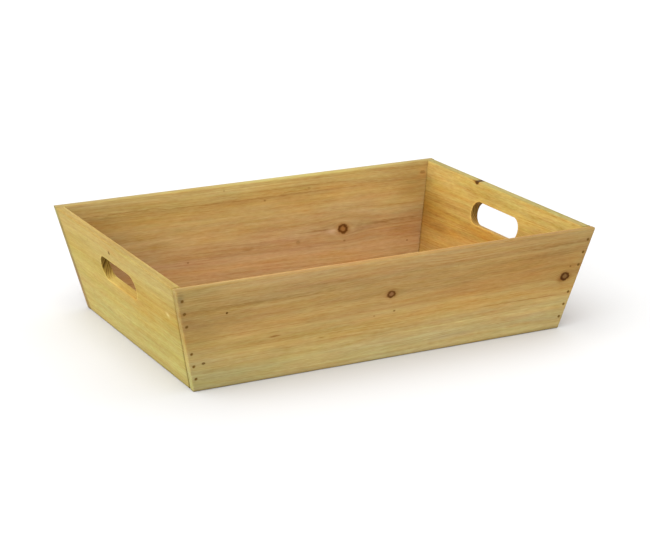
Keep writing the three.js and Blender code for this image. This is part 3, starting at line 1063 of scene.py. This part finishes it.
def dulled_steel(colours):
    """Wire nails gone dull: grey steel under a brown bloom."""
    material, tree, shader = new_material("dulled_nail_steel", {"Specular IOR Level": DULL_SHEEN})
    noise = mottle_shader(tree, shader, 1 / STEEL_GRAIN, 3, tones(colours.nail_steel, STEEL_TONES))
    low, high = STEEL_ROUGHNESS
    rough = add(tree, "MapRange", {"Value": noise, "To Min": low, "To Max": high})
    tree.links.new(rough.outputs[0], shader.inputs["Roughness"])
    return material


def studio_floor(colours):
    """Matt painted floor, with a trace of unevenness in its tone."""
    material, tree, shader = new_material("matt_studio_floor", {"Roughness": FLOOR_ROUGHNESS})
    mottle_shader(tree, shader, FLOOR_NOISE, 2, tones(colours.floor, FLOOR_TONES))
    return material


def wood_bands(colours, side, stops):
    """A board's four colours from the rim to the foot, at shares of its height."""
    names = ("upper", "shoulder", "middle", "lower")
    return [(stop, tuple(getattr(colours, f"{side}_{name}"))) for stop, name in zip(stops, names)]


# Painted shade at the foot, darkening along the joints, the painted light and shade along the rim's
# edges and round the hole, and the sawn ends
FOOT_AND_JOINT_REACH = 0.9 * MM
FOOT_SHADE = 0.9
JOINT_DARK = 0.25
RIM_EDGE_LIGHT_SHARE = 0.35
END_FADE = 0.4
HOLE_EDGE_HIGHLIGHT = 0.22


def edge_tints(wall, flat, timber, sizes):
    """Tint of the sanded rim, which fades in over the arris, and of the two sawn ends, which fade in
    over END_FADE of it. On the rim, the shares of its width that are nearest to its outer and inner
    edges go over to a painted lightness: painted shade along the outer edge and a painted highlight
    along the inner."""
    x, up, depth = flat.T
    across = depth / sizes.board_thickness
    rim = np.clip(1 - (WALL_HEIGHT - up) / sizes.arris, 0, 1)[:, None]
    rim_tint = np.array(timber.rim)
    # Painted shade along the rim's outer edge, painted highlight along its inner edge
    for from_edge, lightness in zip((across, 1 - across), timber.rim_edge_light):
        near = np.clip(1 - from_edge / RIM_EDGE_LIGHT_SHARE, 0, 1)[:, None]
        rim_tint = rim_tint * (1 + (lightness - 1) * near)
    tint = 1 + (rim_tint - 1) * rim
    for from_end, end_tint in zip((wall.half(up) + x, wall.half(up) - x), timber.ends):
        sawn = np.clip(1 - from_end / (END_FADE * sizes.arris), 0, 1)[:, None]
        tint = tint * (1 + (np.array(end_tint) - 1) * sawn)
    return tint


def make_side_board(wall, side, timber, sizes, colours):
    """A long board: a slab on a grid that is finest in the two nail columns and round the knots, then
    leaned into its wall. The inner face stops at the lip where the foot is rebated for the base."""
    heads = [nail_heads(f"{side}_{end}_nail", wall.into()) for end in ("left", "right")]
    nails = wall.flat(np.concatenate(heads))
    mean = wall.half(WALL_HEIGHT / 2)
    step = BASE_THICKNESS + sizes.joint_gap
    pocket = BASE_HIGH.x + sizes.joint_gap
    pocket_edge = pocket * mean / wall.half(step / 2)
    columns = [(0, NAIL_COLUMN, NAIL_STEP), (2 * mean - NAIL_COLUMN, 2 * mean, NAIL_STEP)]
    rows = [(up - NAIL_ZONE, up + NAIL_ZONE, NAIL_STEP) for up in nails[:, 1]]
    for knot in timber.knots:
        across = KNOT_ZONE * knot.wide * MM
        height = WALL_HEIGHT - knot.down * MM * math.cos(wall.flare)
        middle = knot.along * MM * mean / wall.half(height) + mean
        columns.append((middle - across, middle + across, KNOT_STEP))
        rows.append((height - across, height + across, KNOT_STEP))
    edges = (mean - pocket_edge, mean + pocket_edge)
    x = stations(2 * mean, GRID_STEP, merged(columns), sizes.arris, edges) - mean
    up = stations(WALL_HEIGHT, ROW_STEP, merged(rows), sizes.arris, (step,))

    def relief(along, height):
        true_x = along * wall.half(height) / mean
        uneven = 1 + waves(true_x, height, WAVE_SEEDS[side])
        return craters(true_x, height, nails) + UNEVEN * uneven

    def limit(along, height):
        inside = (height < step) & (np.abs(along) < pocket_edge)
        return np.where(inside, wall.lip(height, sizes), sizes.board_thickness)

    flat, quads = slab(x, up, sizes.board_thickness, sizes.arris, relief, limit)
    flat[:, 0] *= wall.half(flat[:, 1]) / mean
    material = softwood(f"planed_fir_{side}", timber, side, colours, wall.slant() / MM)
    points = wall.place(*flat.T)
    piece = new_piece(f"{side}_plank", points, quads, material, wall.board)
    along, down, depth = wall.on_board(flat)
    pale = edge_tints(wall, flat, timber, sizes)
    # Painted shade along the foot
    shade_and_joint_dark = FOOT_SHADE * np.exp(-flat[:, 1] / FOOT_AND_JOINT_REACH)
    cuts = np.stack([0 * along, shade_and_joint_dark, 0 * along], axis=-1)
    nail_down = (WALL_HEIGHT - nails[:, 1]) / math.cos(wall.flare)
    marks = nail_marks(np.stack([nails[:, 0], nail_down], axis=-1) / MM)
    write_timber(piece, timber, along, down, depth, marks, pale, cuts)


def make_end_board(wall, side, timber, sizes, colours):
    """An end board with its hand hole, leaned into its wall."""
    flat, from_hole, along_grain, quads = holed_board(wall, sizes)
    broken = timber.chip * MM * np.clip(1 - flat[:, 1] / CHIP_HEIGHT, 0, 1)
    far_end = flat[:, 0] / wall.half(flat[:, 1])
    flat[:, 0] -= broken * np.clip((far_end - CHIP_FROM) / (1 - CHIP_FROM), 0, 1)
    material = softwood(f"planed_fir_{side}_end", timber, side, colours, wall.slant() / MM)
    points = wall.place(*flat.T)
    piece = new_piece(f"{side}_end_plank", points, quads, material, wall.board)
    along, down, depth = wall.on_board(flat)
    from_end = wall.half(flat[:, 1]) - np.abs(flat[:, 0])
    in_hole = np.clip(1 - from_hole / sizes.hole_arris, 0, 1) * along_grain
    # Darker along the joints, most towards the foot, and painted shade along the foot
    low = 1 - flat[:, 1] / WALL_HEIGHT
    joint = (JOINT_DARK + (1 - JOINT_DARK) * low) * np.exp(-from_end / FOOT_AND_JOINT_REACH)
    shade_and_joint_dark = np.clip(joint + FOOT_SHADE * np.exp(-flat[:, 1] / FOOT_AND_JOINT_REACH), 0, 1)
    # Painted highlight along the hole's outer arris
    hole_edge = from_hole / sizes.hole_arris
    hole_edge_highlight = 1 + HOLE_EDGE_HIGHLIGHT * hole_edge * np.exp(1 - hole_edge)
    pale = edge_tints(wall, flat, timber, sizes) * hole_edge_highlight[:, None]
    cuts = np.stack([in_hole, shade_and_joint_dark, 0 * along], axis=-1)
    write_timber(piece, timber, along, down, depth, (), pale, cuts)


# Operators, panel and registration
class TRAY_OT_side_boards(Operator):
    """Make the front and back boards"""

    bl_idname = "tray.side_boards"
    bl_label = "Front and back boards"

    def execute(self, context):
        sizes, colours = context.scene.tray_sizes, context.scene.tray_colours
        walls = tray_walls(sizes)
        for side, timber in (("front", FRONT_TIMBER), ("back", BACK_TIMBER)):
            make_side_board(walls[side], side, timber, sizes, colours)
        return {"FINISHED"}


class TRAY_OT_end_boards(Operator):
    """Make the two end boards with their hand holes"""

    bl_idname = "tray.end_boards"
    bl_label = "End boards"

    def execute(self, context):
        sizes, colours = context.scene.tray_sizes, context.scene.tray_colours
        walls = tray_walls(sizes)
        for side, timber in (("left", LEFT_TIMBER), ("right", RIGHT_TIMBER)):
            make_end_board(walls[side], side, timber, sizes, colours)
        return {"FINISHED"}


class TRAY_OT_base(Operator):
    """Make the plywood base"""

    bl_idname = "tray.base"
    bl_label = "Base"

    def execute(self, context):
        sizes, colours = context.scene.tray_sizes, context.scene.tray_colours
        half_x, half_y = BASE_HIGH.x, BASE_HIGH.y
        up = np.array([0, 0, 1.0])
        heads = [nail_heads(f"{edge}_base_pin", up) for edge in ("front", "back", "left", "right")]
        pins = np.concatenate(heads)[:, :2]
        spans = []
        for half, places in ((half_x, pins[:, 0]), (half_y, pins[:, 1])):
            zones = merged([(p + half - NAIL_ZONE, p + half + NAIL_ZONE, NAIL_STEP) for p in places])
            spans.append(stations(2 * half, BASE_STEP, zones, sizes.joint_arris) - half)

        def relief(across, along):
            return craters(across, along, pins)

        def limit(across, along):
            return BASE_THICKNESS + 0 * across

        flat, quads = slab(*spans, BASE_THICKNESS, sizes.joint_arris, relief, limit)
        points = flat + np.array([0, 0, BASE_LOW.z])
        material = rotary_plywood(colours)
        piece = new_piece("plywood_base", points, quads[:, ::-1], material, "base_panel")
        along, across, depth = flat.T / MM
        write_attribute(piece, "grain_at", np.stack([along, across, depth], axis=-1))
        write_attribute(piece, "nail_at", nearest_mark(along, across, nail_marks(pins / MM)))
        return {"FINISHED"}


class TRAY_OT_nails(Operator):
    """Finish the corner nails and the base pins"""

    bl_idname = "tray.nails"
    bl_label = "Nails and pins"

    def execute(self, context):
        steel = dulled_steel(context.scene.tray_colours)
        for name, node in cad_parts.items():
            if "_nail_" in name or "_base_pin_" in name:
                node.data.materials.clear()
                node.data.materials.append(steel)
        return {"FINISHED"}


FLOOR_HALF = 60.0
FLOOR_DROP = 0.05 * MM
KEY_FROM = Vector((-0.54, -0.31, 0.55))
BACK_FROM = Vector((0.55, 0.4, 0.65))
LAMP_DISTANCE = 3.0
SENSOR_WIDTH = 36
VIEW_END = 100


class TRAY_OT_stage(Operator):
    """Make the floor, the light and the camera"""

    bl_idname = "tray.stage"
    bl_label = "Stage"

    def execute(self, context):
        scene = context.scene
        stage = scene.tray_stage
        side, low = FLOOR_HALF, -FLOOR_DROP
        corners = [(-side, -side, low), (side, -side, low), (side, side, low), (-side, side, low)]
        mesh = bpy.data.meshes.new("floor")
        mesh.from_pydata(corners, [], [(0, 1, 2, 3)])
        mesh.materials.append(studio_floor(scene.tray_colours))
        floor = bpy.data.objects.new("floor", mesh)
        scene.collection.objects.link(floor)

        strengths = {"key_light": stage.key_strength, "back_light": stage.back_strength}
        for (name, strength), towards in zip(strengths.items(), (KEY_FROM, BACK_FROM)):
            sun = bpy.data.lights.new(name, "SUN")
            sun.energy = strength
            sun.angle = stage.softness
            lamp = bpy.data.objects.new(name, sun)
            lamp.location = towards * LAMP_DISTANCE
            lamp.rotation_euler = (-towards).to_track_quat("-Z", "Y").to_euler()
            scene.collection.objects.link(lamp)
        world = bpy.data.worlds.new("studio")
        world.use_nodes = True
        background = world.node_tree.nodes["Background"]
        background.inputs["Color"].default_value = (*WHITE, 1)
        background.inputs["Strength"].default_value = stage.sky
        scene.world = world
        scene.view_settings.view_transform = "Standard"

        data = bpy.data.cameras.new("camera")
        data.sensor_width = SENSOR_WIDTH
        data.lens = data.sensor_width * stage.focal_pixels / IMAGE_WIDTH
        data.clip_end = VIEW_END
        camera = bpy.data.objects.new("camera", data)
        level = math.cos(stage.elevation)
        right, near = math.sin(stage.azimuth) * level, -math.cos(stage.azimuth) * level
        back = Vector((right, near, math.sin(stage.elevation)))
        camera.location = Vector((stage.look_right, 0, stage.look_up)) + back * stage.distance
        camera.rotation_euler = (-back).to_track_quat("-Z", "Y").to_euler()
        scene.collection.objects.link(camera)
        scene.camera = camera
        return {"FINISHED"}


OPERATORS = (TRAY_OT_stage, TRAY_OT_side_boards, TRAY_OT_end_boards, TRAY_OT_base, TRAY_OT_nails)


class TRAY_PT_panel(Panel):
    """Lists the tray's pieces"""

    bl_label = "Flared Wooden Tray"
    bl_space_type = "VIEW_3D"
    bl_region_type = "UI"
    bl_category = "Tray"

    def draw(self, context):
        for operator in OPERATORS:
            self.layout.operator(operator.bl_idname)
        for group in (context.scene.tray_sizes, context.scene.tray_colours, context.scene.tray_stage):
            box = self.layout.box()
            for name in group.__annotations__:
                box.prop(group, name)


CLASSES = (TraySizes, TrayColours, TrayStage, *OPERATORS, TRAY_PT_panel)


def register():
    """Registers the classes and gives each scene the tray's settings."""
    for cls in CLASSES:
        bpy.utils.register_class(cls)
    bpy.types.Scene.tray_sizes = PointerProperty(type=TraySizes)
    bpy.types.Scene.tray_colours = PointerProperty(type=TrayColours)
    bpy.types.Scene.tray_stage = PointerProperty(type=TrayStage)


def unregister():
    """Takes the settings and the classes away again."""
    del bpy.types.Scene.tray_stage
    del bpy.types.Scene.tray_colours
    del bpy.types.Scene.tray_sizes
    for cls in reversed(CLASSES):
        bpy.utils.unregister_class(cls)


def main():
    """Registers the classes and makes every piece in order."""
    register()
    bpy.ops.tray.stage()
    bpy.ops.tray.side_boards()
    bpy.ops.tray.end_boards()
    bpy.ops.tray.base()
    bpy.ops.tray.nails()


if __name__ == "__main__":
    main()
